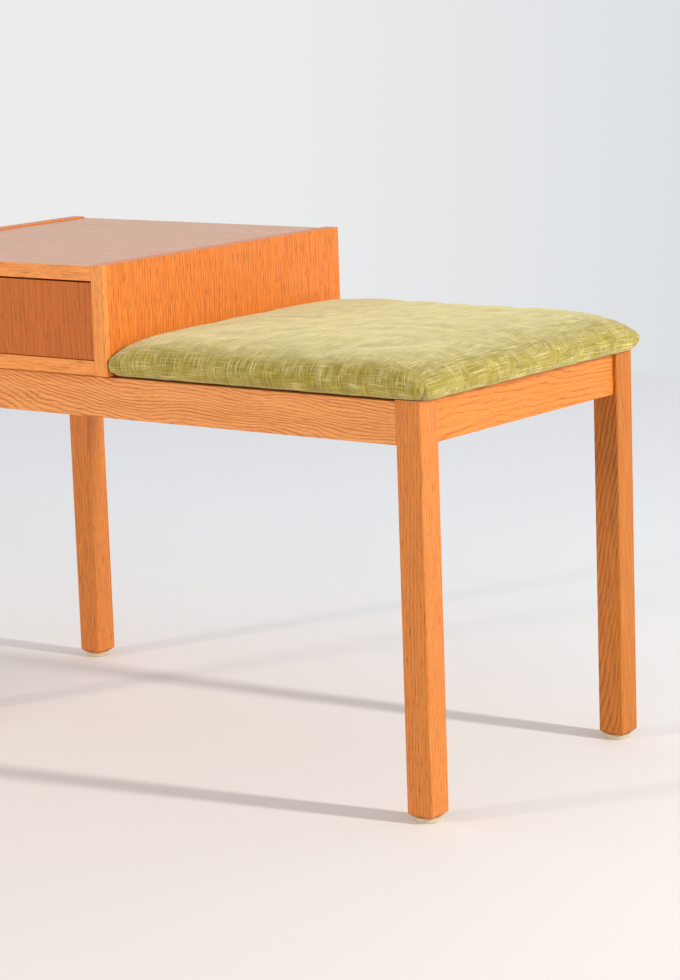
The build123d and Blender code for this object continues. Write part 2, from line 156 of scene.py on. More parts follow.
def oak(name, grain, tones, pith=(0.05, 0.08), ring=0.003, bend=0.006, lean=(0.02, 0.03), contrast=0.6,
        streaks=0.5, pores=0.5, gloss=0.45):
    """Oak whose grain runs along an axis. Tones: late wood, early wood, pore. Lengths are in metres."""
    material, tree, shader = new_material(name)
    late, early, pore = (linear(code) for code in tones)
    place = add_node(tree, "ShaderNodeTexCoord").outputs["Object"]
    split = add_node(tree, "ShaderNodeSeparateXYZ", links={0: place}).outputs
    board = add_node(tree, "ShaderNodeCombineXYZ", links={
        i: split[axis] for i, axis in enumerate(ACROSS_AND_ALONG[grain])}).outputs[0]

    def noise_at(counts, detail, roughness=0.5, output="Fac"):
        across, along = counts
        stretched = add_node(tree, "ShaderNodeMapping", {"Scale": (across, across, along)}, {0: board})
        made = add_node(tree, "ShaderNodeTexNoise", {"Scale": 1.0, "Detail": detail, "Roughness": roughness},
                        {0: stretched.outputs[0]})
        return made.outputs[output]

    # Rings round the pith, after the board is bent a little by noise that is centred on zero.
    wobble = noise_at(stem_wobble, 3, output="Color")
    drift = add_node(tree, "ShaderNodeVectorMath", {1: (0.5, 0.5, 0.5)}, {0: wobble}, operation="SUBTRACT")
    drift = add_node(tree, "ShaderNodeVectorMath", {"Scale": 2 * bend}, {0: drift.outputs[0]},
                     operation="SCALE")
    bent = add_node(tree, "ShaderNodeVectorMath", links={0: board, 1: drift.outputs[0]}, operation="ADD")
    stem = add_node(tree, "ShaderNodeMapping", {"Location": (*pith, 0.0), "Rotation": (*lean, 0.0)},
                    {0: bent.outputs[0]}, vector_type="TEXTURE")
    rings = add_node(tree, "ShaderNodeTexWave", {
        "Scale": math.pi / (10 * ring), "Distortion": 1.6, "Detail": 3.0, "Detail Scale": 0.7},
        {0: stem.outputs[0]}, wave_type="RINGS", rings_direction="Z", wave_profile="SAW")
    year = add_node(tree, "ShaderNodeValToRGB", links={0: rings.outputs["Fac"]}, stops=[
        (0.0, grey(0.3)), (0.1, grey(1.0)), (0.22, grey(0.8)),
        (0.4, grey(0.25)), (0.9, grey(0.0)), (1.0, grey(0.3))])

    # The tone: a year's dark band, stronger in some places than in others, on streaky fibres.
    fibre = add_node(tree, "ShaderNodeMapRange", {
        "From Min": 0.35, "From Max": 0.68, "To Min": 1.0, "To Max": 1.0 - streaks},
        {"Value": noise_at(fibres, 3, 0.65)})
    weak = add_node(tree, "ShaderNodeMapRange", {
        "From Min": 0.3, "From Max": 0.7, "To Min": -1.6 * contrast, "To Max": -0.5 * contrast},
        {"Value": noise_at(weak_years, 2)})
    tone = add_node(tree, "ShaderNodeMath", links={
        0: year.outputs["Color"], 1: weak.outputs[0], 2: fibre.outputs[0]},
        operation="MULTIPLY_ADD", use_clamp=True)
    wood = add_node(tree, "ShaderNodeMix", {6: early, 7: late}, {0: tone.outputs[0]}, data_type="RGBA")

    # Pores, most of them in the dark band, darken the wood, break its gloss and pit it.
    dash = add_node(tree, "ShaderNodeMapRange", {"From Min": 0.55, "From Max": 0.66, "To Max": pores},
                    {"Value": noise_at(pore_dashes, 1)})
    where = add_node(tree, "ShaderNodeMath", {1: 0.55, 2: 0.45}, {0: year.outputs["Color"]},
                     operation="MULTIPLY_ADD")
    pitted = add_node(tree, "ShaderNodeMath", links={0: dash.outputs[0], 1: where.outputs[0]},
                      operation="MULTIPLY")
    final = add_node(tree, "ShaderNodeMix", {7: pore}, {0: pitted.outputs[0], 6: wood.outputs[2]},
                     data_type="RGBA")
    tree.links.new(final.outputs[2], shader.inputs["Base Color"])
    shine = add_node(tree, "ShaderNodeMapRange", {"To Min": gloss + 0.08, "To Max": gloss - 0.04},
                     {"Value": tone.outputs[0]})
    tree.links.new(shine.outputs[0], shader.inputs["Roughness"])
    bump = add_node(tree, "ShaderNodeBump", {"Strength": 0.2, "Distance": pore_depth},
                    {"Height": pitted.outputs[0]}, invert=True)
    tree.links.new(bump.outputs[0], shader.inputs["Normal"])
    shader.inputs["Specular IOR Level"].default_value = 0.35
    return material


# %% [markdown]
# Old oil has turned the oak of the frame orange. No two boards of it came from the same
# place in a tree, so each leg and rail has its own pith, ring width and lean. The front and
# left legs were sawn far from the pith, so their lines are straight and fine. The back right
# leg was sawn nearer to it and at a slant: its lines spread like a flame. Its tones are
# darker all over, partly as painted shade for the shadow of the rails and cushion on its
# front. The rails have wide arches, because their outer faces run along the rings.

# %% Legs
# The back right leg's second set of tones is darker, partly as painted shade from the rails and cushion.
leg_tones, shade_darkened_leg_tones = ("E08A3A", "B45E1E", "7C3E12"), ("D47F26", "9A5012", "6A340A")
straight = dict(bend=0.004, contrast=0.32, pores=0.65)
legs = {
    "leg_front_right": (leg_tones, dict(straight, pith=(0.60, -0.50), ring=0.0024, lean=(0.0, 0.03))),
    "leg_back_right": (shade_darkened_leg_tones, dict(pith=(0.27, -0.09), ring=0.0023, bend=0.006,
                                            lean=(-0.11, 0.0), contrast=0.55)),
    "leg_back_left": (leg_tones, dict(straight, pith=(-0.65, 0.45), ring=0.0026, lean=(0.0, 0.02))),
    "leg_front_left": (leg_tones, dict(straight, pith=(-0.65, -0.45), ring=0.0026, lean=(0.02, 0.02))),
}
for name, (tones, figure) in legs.items():
    dress(name, oak(f"oiled_oak_{name}", "z", tones, **figure))
print("dressed:", *legs)

# %% Rails
rail_tones = ("F6A862", "C87430", "8E4A18")
end_rail_tones = ("EA8E3A", "BE6620", "8A4410")
rails = {
    "rail_front": ("x", rail_tones, dict(pith=(-0.44, 0.28), ring=0.0018, bend=0.017, lean=(0.10, 0.0),
                                         contrast=0.75)),
    "rail_back": ("x", rail_tones, dict(pith=(0.50, 0.25), ring=0.0023, bend=0.008, lean=(0.04, 0.0))),
    "rail_right": ("y", end_rail_tones, dict(pith=(0.64, 0.31), ring=0.0022, bend=0.013, lean=(0.04, 0.0),
                                             contrast=0.4)),
    "rail_left": ("y", end_rail_tones, dict(pith=(-0.62, 0.27), ring=0.0024, bend=0.010)),
}
for name, (grain, tones, figure) in rails.items():
    dress(name, oak(f"oiled_oak_{name}", grain, tones, **figure))
print("dressed:", *rails)

# %% [markdown]
# The cabinet is veneered board. Its veneer is sliced straight through the rings, so the
# figure is plain fine stripes with long pore lines, upright on the sides and on the
# drawer front and lengthways on the top. The front edges are covered with a thin strip of
# solid oak, the lipping. The drawer front is darker and redder than the sides.

# %% Veneer and lipping
lipping_tones = ("F8A050", "CC742C", "8E4A1A")
strips = {"side_lipping_left": "z", "side_lipping_right": "z", "top_lipping": "x", "bottom_lipping": "x",
          "drawer_knob": "y"}
for name, grain in strips.items():
    dress(name, oak(f"oak_{name}", grain, lipping_tones, pith=(0.4, 0.5), ring=0.0020, bend=0.004,
                    contrast=0.22, pores=0.7))
side_veneer = oak("oak_side_veneer", "z", ("F28E38", "C8661C", "8C4210"), pith=(2.0, 3.0), ring=0.0034,
                  bend=0.012, contrast=0.28, streaks=0.8, pores=0.8, gloss=0.4)
for name in ("cabinet_side_left", "cabinet_side_right"):
    dress(name, side_veneer)
top_veneer = oak("oak_top_veneer", "x", ("D8925A", "B0703E", "8A5226"), pith=(1.0, 2.0), ring=0.005,
                 bend=0.006, contrast=0.3, gloss=0.3)
for name in ("cabinet_top", "cabinet_bottom"):
    dress(name, top_veneer)
drawer_veneer = oak("oak_drawer_veneer", "z", ("CE6E1E", "AA5210", "7C3A06"), pith=(1.0, 2.0),
                    ring=0.003, bend=0.012, contrast=0.2, streaks=0.8, pores=0.6, gloss=0.42)
dress("drawer_front", drawer_veneer)
print("strips and knob:", *strips)

# %% [markdown]
# What nobody sees is made of cheaper wood. Battens, blocks, runners and dowels are beech,
# which is pink-brown and even, the drawer box and seat board are birch, which is pale and
# plain, and the cabinet back is hardboard, which is pressed from brown fibre. All three use
# the same rings as oak with far less contrast and hardly any pores.

# %% Plain woods
beech_tones = ("D9B58A", "C79C6E", "9C6F48")
for name in nodes:
    if name.startswith(("batten_", "corner_block_", "runner_", "drawer_stops")) or name.endswith("dowels"):
        grain = "z" if name.startswith("corner") else "y"
        dress(name, oak(f"beech_{name}", grain, beech_tones, pith=(0.6, 0.9), contrast=0.3, pores=0.3,
                        gloss=0.55))
birch_tones = ("E2C79A", "CFAE7C", "B08A5A")
for name, grain in (("drawer_side_left", "y"), ("drawer_side_right", "y"), ("drawer_back", "x"),
                    ("drawer_bottom", "x"), ("seat_board", "x")):
    dress(name, oak(f"birch_{name}", grain, birch_tones, pith=(0.5, 0.3), ring=0.005, contrast=0.4,
                    pores=0.2, gloss=0.55))
hardboard = oak("hardboard", "x", ("6B4A30", "5A3C26", "3E2818"), contrast=0.2, pores=0.2, gloss=0.6)
dress("cabinet_back", hardboard)
print("materials so far:", len(bpy.data.materials))

# %% [markdown]
# The screws, pins and staples are zinc-plated steel. Plating is a crystal skin a few
# micrometres thick, so it is grey with small cloudy flecks, and dull where it was handled.
# The glides are moulded nylon, once cream and now yellowed and scuffed round the rim by the
# floor. Flecks and scuffs are about a millimetre across.

# %% Steel and nylon
def mottled(name, tones, fleck, roughness, bump_depth, **uniform):
    """A material that varies between two tones and two roughnesses in flecks of a size in metres."""
    material, tree, shader = new_material(name)
    place = add_node(tree, "ShaderNodeTexCoord").outputs["Object"]
    flecks = add_node(tree, "ShaderNodeTexNoise", {"Scale": 0.5 / fleck, "Detail": 4.0, "Roughness": 0.65},
                      {0: place}).outputs["Fac"]
    spread = add_node(tree, "ShaderNodeMapRange", {"From Min": 0.35, "From Max": 0.65}, {"Value": flecks})
    colour = add_node(tree, "ShaderNodeMix", {6: linear(tones[0]), 7: linear(tones[1])},
                      {0: spread.outputs[0]}, data_type="RGBA")
    tree.links.new(colour.outputs[2], shader.inputs["Base Color"])
    dull = add_node(tree, "ShaderNodeMapRange", {"To Min": roughness[0], "To Max": roughness[1]},
                    {"Value": spread.outputs[0]})
    tree.links.new(dull.outputs[0], shader.inputs["Roughness"])
    bump = add_node(tree, "ShaderNodeBump", {"Strength": 0.3, "Distance": bump_depth}, {"Height": flecks})
    tree.links.new(bump.outputs[0], shader.inputs["Normal"])
    for socket, value in uniform.items():
        shader.inputs[socket].default_value = value
    return material


steel = mottled("zinc_plated_steel", ("9FA0A0", "C6C6C0"), 0.0008, (0.28, 0.45), 0.00005, Metallic=1.0)
for name in nodes:
    if name.endswith(("screws", "screw", "pins", "nails", "staples")):
        dress(name, steel)

glide_plastic = mottled("moulded_nylon_glide", ("B9AE90", "D2C8AC"), 0.0015, (0.4, 0.6), 0.0001)
for name in nodes:
    if name.startswith("glide_") and name != "glide_nails":
        dress(name, glide_plastic)
print("steel is on", steel.users, "pieces and nylon on", glide_plastic.users)

# %% [markdown]
# The seat is a plywood board with foam on top and one piece of velvet pulled over both,
# so it is a cushion that is flat only underneath. It is fullest in the middle, drops to a
# soft rolled edge, stands a little proud of the rails, and then tucks in under the board.
# Against the cabinet it can't roll over, so there it stays high. Four curves say all this:
# how the foam rises from the right, the front and the back, and how it is a little lower
# where it meets the cabinet. A curve has a reach, the depth by which most of the rise is
# done, and a power, which is small for a sharp edge.

# %% The curves of the foam
seat_low, seat_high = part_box("seat_cover")
cabinet_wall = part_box("cabinet_side_right")[1].x
clear, overhang, right_ease = 0.0006, 0.0035, 0.001
left, right = cabinet_wall + clear, seat_high.x + overhang - right_ease
front, back = seat_low.y - overhang, seat_high.y + overhang
underside = seat_low.z + clear
widest = seat_low.z + 0.0165
crown_base, crown_height = seat_low.z + 0.012, 0.0333
at_wall, wall_gain, wall_reach = 0.72, 0.28, 0.043
right_reach, right_power = 0.020, 0.57
front_reach, front_power = 0.012, 0.5
back_reach, back_power = 0.0125, 0.85


def rise(depth, length, power):
    """How far foam has risen, from 0 to 1, at a depth in from its edge."""
    return 1 - np.exp(-(np.maximum(depth, 0) / length) ** power)


def crown(x, y):
    """The height of the foam's top."""
    lean = at_wall + wall_gain * rise(x - left, wall_reach, 1)
    across = rise(right - x, right_reach, right_power)
    along = rise(y - front, front_reach, front_power) * rise(back - y, back_reach, back_power)
    return crown_base + crown_height * lean * np.maximum(1 - np.hypot(1 - across, 1 - along), 0)


top_middle = crown((left + right) / 2, (front + back) / 2)
print("the foam is", round(float(top_middle - underside), 4), "high in the middle")

# %% [markdown]
# Four small helpers do what the soft pieces need more than once: they add a block, give it
# an even net of faces, and read and write the places of its points as one array, which is
# much faster than going from point to point.

# %% Helpers for meshes
def remesh(piece, cell):
    """Gives a closed piece an even net of square faces."""
    bpy.ops.object.select_all(action="DESELECT")
    piece.select_set(True)
    bpy.context.view_layer.objects.active = piece
    piece.data.remesh_voxel_size = cell
    bpy.ops.object.voxel_remesh()


def points_of(mesh):
    """The points of a mesh as an array."""
    flat = np.zeros(len(mesh.vertices) * 3)
    mesh.vertices.foreach_get("co", flat)
    return flat.reshape(-1, 3)


def move_points(mesh, points):
    """Puts the points of a mesh where an array says."""
    mesh.vertices.foreach_set("co", points.ravel())
    mesh.update()


def add_block(name, low, high):
    """A cube between two corners, with its place in its mesh."""
    bpy.ops.object.select_all(action="DESELECT")
    low, high = Vector(low), Vector(high)
    bpy.ops.mesh.primitive_cube_add(size=1, location=(low + high) / 2, scale=high - low)
    bpy.ops.object.transform_apply(location=True, rotation=True, scale=True)
    block = bpy.context.object
    block.name = block.data.name = name
    return block


# %% [markdown]
# The block is a cube up to the height where the cushion is widest. Its upright edges are
# bevelled, tight against the cabinet and round at the seat end. A voxel remesh gives it an
# even net of faces, which cloth needs. Then its points move to the curves: the top ones up
# to the crown, and those below inwards, where the cover tucks in under the board.

# %% A block of foam, cut to shape
tight_corner, round_corner, cloth_cell = 0.004, 0.018, 0.0043
tuck_front, tuck_right = 0.0105, 0.0045
tolerance = 0.0001
cushion = add_block("seat_cushion", (left, front, underside), (right, back, widest))
bpy.ops.object.mode_set(mode="EDIT")
bpy.ops.mesh.select_mode(type="EDGE")
for side_x, radius in ((left, tight_corner), (right, round_corner)):
    bpy.ops.mesh.select_all(action="DESELECT")
    mesh = bmesh.from_edit_mesh(cushion.data)
    for edge in mesh.edges:
        upright = abs(edge.verts[0].co.z - edge.verts[1].co.z) > tolerance
        edge.select_set(upright and abs(edge.verts[0].co.x - side_x) < tolerance)
    bmesh.update_edit_mesh(cushion.data)
    bpy.ops.mesh.bevel(offset=radius, segments=6, affect="EDGES")
bpy.ops.object.mode_set(mode="OBJECT")
remesh(cushion, cloth_cell)

middle_x, middle_y = (left + right) / 2, (front + back) / 2
skin = 0.001
points = points_of(cushion.data)
on_top = points[:, 2] > widest - skin
sunk = np.where(on_top, 0, np.clip((widest - points[:, 2]) / (widest - underside), 0, 1))
blunt_curve, round_curve = 1 - np.cbrt(1 - sunk ** 3), 1 - np.sqrt(1 - sunk ** 2)
points[:, 0] -= blunt_curve * tuck_right * (points[:, 0] - middle_x) / (right - middle_x)
points[:, 1] -= round_curve * tuck_front * (points[:, 1] - middle_y) / (back - middle_y)
points[on_top, 2] = np.maximum(crown(points[on_top, 0], points[on_top, 1]), widest)
move_points(cushion.data, points)
remesh(cushion, cloth_cell)
bpy.ops.object.shade_smooth()
print("foam block:", len(cushion.data.vertices), "points, crown at", round(float(points[:, 2].max()), 4))

# %% [markdown]
# The weave has to follow the cloth over the edges. So each point gets its place on the flat
# cloth: its x and y, and on the way down an edge also the distance it has dropped, in the
# direction the edge faces. Threads then run on from the top down each side, as they do
# when one piece of cloth is folded down. It is stored as a UV map in metres.

# %% The flat cloth's own map
def cloth_map(piece, fold_height, least_slope=0.25):
    """Stores each point's place on the flat cloth, in metres, as the UV map 'cloth'."""
    mesh = piece.data
    place = points_of(mesh)
    normal = np.zeros(len(place) * 3)
    mesh.vertices.foreach_get("normal", normal)
    normal = normal.reshape(-1, 3)
    sideways = np.linalg.norm(normal[:, :2], axis=1, keepdims=True)
    facing = normal[:, :2] / np.maximum(sideways, least_slope)
    drop = np.maximum(fold_height - place[:, 2:3], 0)
    flat = place[:, :2] + facing * drop
    corner = np.zeros(len(mesh.loops), dtype=np.int32)
    mesh.loops.foreach_get("vertex_index", corner)
    layer = mesh.uv_layers.new(name="cloth")
    layer.data.foreach_set("uv", flat[corner].ravel())


cloth_map(cushion, crown_base + crown_height)
print("UV maps:", [layer.name for layer in cushion.data.uv_layers])

# %% [markdown]
# A cover is cut a little smaller than its foam and pulled down, so the foam pushes it out
# everywhere between the staples. The cloth simulation does the same: the block is drawn in
# by 2 mm, cloth with a little spare area is laid on it, and pressure swells it again. The
# underside is pinned, as the board holds it, and a weak pin everywhere else is the foam,
# which lets the cover move only a few millimetres. A cap keeps any point from going further.
# Gravity is left out, because foam this firm doesn't sag under its own weight.

# %% Stuff it with a cloth simulation
foam_hold, spare_cloth, slack, furthest = 0.1, 0.02, 0.002, 0.006
pinned_below, last_step = underside + 0.0015, 20
bpy.ops.object.mode_set(mode="EDIT")
bpy.ops.mesh.select_mode(type="VERT")
bpy.ops.mesh.select_all(action="DESELECT")
mesh = bmesh.from_edit_mesh(cushion.data)
for vertex in mesh.verts:
    vertex.select_set(vertex.co.z > pinned_below)
bmesh.update_edit_mesh(cushion.data)
bpy.ops.transform.shrink_fatten(value=-slack)
bpy.ops.object.mode_set(mode="OBJECT")
before = points_of(cushion.data)
held = cushion.vertex_groups.new(name="held")
held.add(np.flatnonzero(before[:, 2] > pinned_below).tolist(), foam_hold, "REPLACE")
held.add(np.flatnonzero(before[:, 2] <= pinned_below).tolist(), 1.0, "REPLACE")
stuffing = cushion.modifiers.new("stuffing", "CLOTH")
cloth = stuffing.settings
cloth.use_pressure = True
cloth.uniform_pressure_force = 4
cloth.effector_weights.gravity = 0
cloth.vertex_group_mass = "held"
cloth.shrink_min = -spare_cloth
stuffing.point_cache.frame_start, stuffing.point_cache.frame_end = 1, last_step
for step in range(1, last_step + 1):
    bpy.context.scene.frame_set(step)
swollen = cushion.evaluated_get(bpy.context.evaluated_depsgraph_get())
moved = points_of(swollen.data) - before
length = np.linalg.norm(moved, axis=1)
cushion.modifiers.remove(stuffing)
cushion.vertex_groups.clear()
cap = np.minimum(1, furthest / np.maximum(length, 1e-9))
move_points(cushion.data, before + moved * cap[:, None])
print("swelled by", round(float(length.mean()), 4), "and at most", round(float(length.max()), 4))

# %% [markdown]
# Foam evens out small creases on the top, which a smooth modifier does here. It works on the
# points above the rolled edge only, so the outline stays as it is. One round of subdivision
# then makes the net fine enough to look smooth from close by.

# %% Even the top and make it finer
above_the_roll = widest + 0.004
bpy.ops.object.select_all(action="DESELECT")
cushion.select_set(True)
bpy.context.view_layer.objects.active = cushion
foam_top = cushion.vertex_groups.new(name="foam_top")
points = points_of(cushion.data)
foam_top.add(np.flatnonzero(points[:, 2] > above_the_roll).tolist(), 1.0, "REPLACE")
even = cushion.modifiers.new("even", "SMOOTH")
even.factor, even.iterations, even.vertex_group = 0.5, 24, "foam_top"
bpy.ops.object.modifier_apply(modifier="even")
cushion.vertex_groups.clear()
fine = cushion.modifiers.new("fine", "SUBSURF")
fine.levels = fine.render_levels = 1
bpy.ops.object.modifier_apply(modifier="fine")
print("cushion:", len(cushion.data.polygons), "faces")

# %% [markdown]
# Where the cover goes round an outer corner there is too much cloth, so the upholsterer
# folds it into one pleat and staples it underneath. The pleat is a narrow ridge with a
# groove beside it, which fades out a little way up. Each corner has the angle at which its
# pleat lies, in radians round the corner from the seat end. Faces near the corners are split
# once more first, so that the ridge has points enough.

# %% Pleats
pleat_height, pleat_ridge, pleat_groove = 0.020, 0.0012, 0.0030
ridge_width, groove_width, groove_turn = 0.10, 0.09, 0.23
fade_power, inner_share, split_above = 0.7, 0.6, 0.006
front_pleat, back_pleat = 0.85, 1.3
corner_x = right - round_corner
corner_spots = [(corner_x, front + round_corner, front_pleat),
                (corner_x, back - round_corner, back_pleat)]
bpy.ops.object.mode_set(mode="EDIT")
bpy.ops.mesh.select_mode(type="FACE")
bpy.ops.mesh.select_all(action="DESELECT")
mesh = bmesh.from_edit_mesh(cushion.data)
for face in mesh.faces:
    spot = face.calc_center_median()
    outside = spot.x > corner_x and abs(spot.y - middle_y) > (back - front) / 2 - round_corner
    face.select_set(outside and spot.z < underside + pleat_height + split_above)
bmesh.update_edit_mesh(cushion.data)
bpy.ops.mesh.subdivide(number_cuts=1, smoothness=1.0)
bpy.ops.object.mode_set(mode="OBJECT")
points = points_of(cushion.data)
for spot_x, spot_y, turn in corner_spots:
    across = points[:, 0] - spot_x
    along = (points[:, 1] - spot_y) * (1 if spot_y > middle_y else -1)
    reach = np.hypot(across, along)
    angle = np.arctan2(along, across)
    low = np.clip(1 - (points[:, 2] - underside) / pleat_height, 0, 1) ** fade_power
    low *= (across > 0) & (along > 0) & (reach > round_corner * inner_share)
    push = pleat_ridge * np.exp(-((angle - turn) / ridge_width) ** 2)
    push -= pleat_groove * np.exp(-((angle - turn + groove_turn) / groove_width) ** 2)
    scale = low * push / np.maximum(reach, 1e-6)
    points[:, 0] += across * scale
    points[:, 1] += (points[:, 1] - spot_y) * scale
print("pleats at", [tuple(round(v, 3) for v in spot) for spot in corner_spots])

# %% [markdown]
# A staple every 47 mm pulls the cover in under the board, and between two staples it stands
# out a little. So the lowest part of the edge goes in and out by less than a millimetre,
# like a wave. Last, no point may go into the cabinet or below the seat's underside.

# %% Pulled edges
staple_step, edge_pull, pulled_height = 0.047, 0.0007, 0.009
right_band, end_band = 0.012, 0.016
low = np.clip(1 - (points[:, 2] - underside) / pulled_height, 0, 1)
on_right = points[:, 0] > right - right_band
on_ends = np.abs(points[:, 1] - middle_y) > (back - front) / 2 - end_band
points[:, 0] -= on_right * low * edge_pull * np.cos(2 * math.pi * points[:, 1] / staple_step)
outward = np.sign(points[:, 1] - middle_y)
points[:, 1] -= on_ends * outward * low * edge_pull * np.cos(2 * math.pi * points[:, 0] / staple_step)
points[:, 0] = np.maximum(points[:, 0], left)
points[:, 2] = np.maximum(points[:, 2], underside)
move_points(cushion.data, points)
bpy.ops.object.select_all(action="DESELECT")
cushion.select_set(True)
bpy.ops.object.shade_smooth()
print("cushion from", points.min(axis=0).round(4), "to", points.max(axis=0).round(4))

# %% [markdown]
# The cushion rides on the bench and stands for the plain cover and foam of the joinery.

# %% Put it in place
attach(cushion, "bench")
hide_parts("seat_cover", "seat_foam")

# %% [markdown]
# The cover is a chenille velvet: a cut pile on a woven ground, in olive and lime with pale
# slubs, which are thick places in the yarn that show as broken light lines along both
# threads. The pile leans this way and that, so the top has cloudy pale and dark patches.
#
# Counts are per metre again, now on the flat cloth's own map. A real thread here is about
# half a millimetre wide. It is drawn 0.9 mm wide, and a slub 0.8 mm wide and 30 to 40 mm
# long, so that both show. Patches with many slubs are 17 mm across, and clouds about 27 mm.

# %% The threads of the velvet
velvet, tree, shader = new_material("slubbed_chenille_velvet")
cloth_uv = add_node(tree, "ShaderNodeUVMap", uv_map="cloth").outputs[0]
thread_count, thread_break = 1100.0, 50.0
slub_count, warp_slub_break, weft_slub_break = 1250.0, 26.0, 30.0
patch_count, cloud_counts = 60.0, (34.0, 40.0)


def threads(scale_u, scale_v, detail, low, high, roughness=0.5):
    """Light lines along one thread direction, as a mask from 0 to 1."""
    mapped = add_node(tree, "ShaderNodeMapping", {"Scale": (scale_u, scale_v, 1.0)}, {0: cloth_uv})
    lines = add_node(tree, "ShaderNodeTexNoise", {"Scale": 1.0, "Detail": detail, "Roughness": roughness},
                     {0: mapped.outputs[0]}, noise_dimensions="2D")
    return add_node(tree, "ShaderNodeMapRange", {"From Min": low, "From Max": high},
                    {"Value": lines.outputs["Fac"]}).outputs[0]


warp = threads(thread_count, thread_break, 2.0, 0.3, 0.7)
weft = threads(thread_break, thread_count, 2.0, 0.3, 0.7)
warp_slub = threads(slub_count, warp_slub_break, 2.0, 0.51, 0.68)
weft_slub = threads(weft_slub_break, slub_count, 2.0, 0.54, 0.72)
patches = threads(patch_count, patch_count, 2.0, 0.35, 0.65)
clouds = threads(*cloud_counts, 4.0, 0.32, 0.68, 0.6)
print("a thread every", round(1000 / thread_count, 2), "mm")

# %% [markdown]
# The threads and the clouds move the cloth between olive and lime, and the slubs lay straw
# over it. Tiny upright fibres catch light at a grazing angle, and sheen gives just that pale
# bloom on the parts that turn away.

# %% The colour and sheen of the velvet
olive, lime, straw = linear("6E5F12"), linear("B2A036"), linear("EFE09A")
weave_share, pile_share, pile_height = 0.34, 0.3, 0.0006
weave = add_node(tree, "ShaderNodeMath", links={0: warp, 1: weft}, operation="ADD")
weave = add_node(tree, "ShaderNodeMath", {1: weave_share}, {0: weave.outputs[0]}, operation="MULTIPLY")
pile = add_node(tree, "ShaderNodeMath", {1: pile_share}, {0: clouds}, operation="MULTIPLY")
tone = add_node(tree, "ShaderNodeMath", links={0: weave.outputs[0], 1: pile.outputs[0]}, operation="ADD",
                use_clamp=True)
body = add_node(tree, "ShaderNodeMix", {6: olive, 7: lime}, {0: tone.outputs[0]}, data_type="RGBA")
slub = add_node(tree, "ShaderNodeMath", links={0: warp_slub, 1: weft_slub}, operation="MAXIMUM")
often = add_node(tree, "ShaderNodeMath", {1: 0.5, 2: 0.35}, {0: patches}, operation="MULTIPLY_ADD")
slub = add_node(tree, "ShaderNodeMath", links={0: slub.outputs[0], 1: often.outputs[0]},
                operation="MULTIPLY")
coloured = add_node(tree, "ShaderNodeMix", {7: straw}, {0: slub.outputs[0], 6: body.outputs[2]},
                    data_type="RGBA")
tree.links.new(coloured.outputs[2], shader.inputs["Base Color"])
shader.inputs["Roughness"].default_value = 0.85
shader.inputs["Specular IOR Level"].default_value = 0.2
shader.inputs["Sheen Weight"].default_value = 0.9
shader.inputs["Sheen Roughness"].default_value = 0.4
shader.inputs["Sheen Tint"].default_value = linear("F4EDC4")
height = add_node(tree, "ShaderNodeMath", links={0: weave.outputs[0], 1: slub.outputs[0]}, operation="ADD")
bump = add_node(tree, "ShaderNodeBump", {"Strength": 0.5, "Distance": pile_height},
                {"Height": height.outputs[0]})
tree.links.new(bump.outputs[0], shader.inputs["Normal"])
cushion.data.materials.append(velvet)
print("velvet has", len(tree.nodes), "nodes")

# %% [markdown]
# A thin dark cloth closes the underside of the seat and keeps the dust of old foam in. It
# is tacked over the turned-under edge of the cover with its own edge folded in. It is one
# sheet, pulled tight but not drum tight: it hangs a millimetre or so between the two battens
# that hold it up, with a few faint pulls. The sheet is a fine grid, whose points are lowered
# between the battens and along the folded hem, and which then gets its thickness.

# %% The dust cloth under the seat
cloth_low, cloth_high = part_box("seat_lining")
cloth_over, hem, thin, air = 0.003, 0.008, 0.00022, 0.0001
cells = 86
sheet_x = (cloth_low.x - cloth_over, cloth_high.x + cloth_over)
sheet_y = (cloth_low.y - cloth_over, cloth_high.y + cloth_over)
bpy.ops.object.select_all(action="DESELECT")
bpy.ops.mesh.primitive_grid_add(x_subdivisions=cells, y_subdivisions=cells, size=1,
                                location=(sum(sheet_x) / 2, sum(sheet_y) / 2, underside - air))
dust_cloth = bpy.context.object
dust_cloth.name = dust_cloth.data.name = "dust_cloth"
bpy.ops.transform.resize(value=(sheet_x[1] - sheet_x[0], sheet_y[1] - sheet_y[0], 1))
bpy.ops.object.transform_apply(location=True, rotation=True, scale=True)
print("dust cloth:", round(sheet_x[1] - sheet_x[0], 4), "by", round(sheet_y[1] - sheet_y[0], 4))

# %% [markdown]
# Across each gap between two battens the cloth hangs in half a sine wave, less deep where the
# gap is less than 100 mm wide, and it comes up again within 50 mm of its front and back
# edges. The pulls are a slow wave on top of that. Its hem lies a little lower, as it is folded.

# %% How the dust cloth hangs
sag, batten_ease, full_gap, edge_fade = 0.0014, 0.002, 0.1, 0.05
pull_depth, pulls_along, pulls_across = 0.25, 95, 21
hem_drop = thin * 0.7
points = points_of(dust_cloth.data)
held_at = [sheet_x[0]]
for name in ("batten_seat_left", "batten_seat_right"):
    low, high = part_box(name)
    held_at += [low.x - batten_ease, high.x + batten_ease]
held_at.append(sheet_x[1])
free = np.zeros(len(points))
for start, end in zip(held_at[::2], held_at[1::2]):
    share = np.clip((points[:, 0] - start) / (end - start), 0, 1)
    free += np.sin(math.pi * share) * np.minimum(1, (end - start) / full_gap)
edge = np.minimum(points[:, 1] - sheet_y[0], sheet_y[1] - points[:, 1])
free *= np.clip((edge - hem) / edge_fade, 0, 1)
wave = np.sin(points[:, 1] * pulls_along + 2 * np.sin(points[:, 0] * pulls_across))
points[:, 2] -= sag * free * (1 - pull_depth + pull_depth * wave)
at_hem = np.minimum(edge, np.minimum(points[:, 0] - sheet_x[0], sheet_x[1] - points[:, 0])) < hem
points[at_hem, 2] -= hem_drop
move_points(dust_cloth.data, points)
shell = dust_cloth.modifiers.new("shell", "SOLIDIFY")
shell.thickness, shell.offset = thin, -1
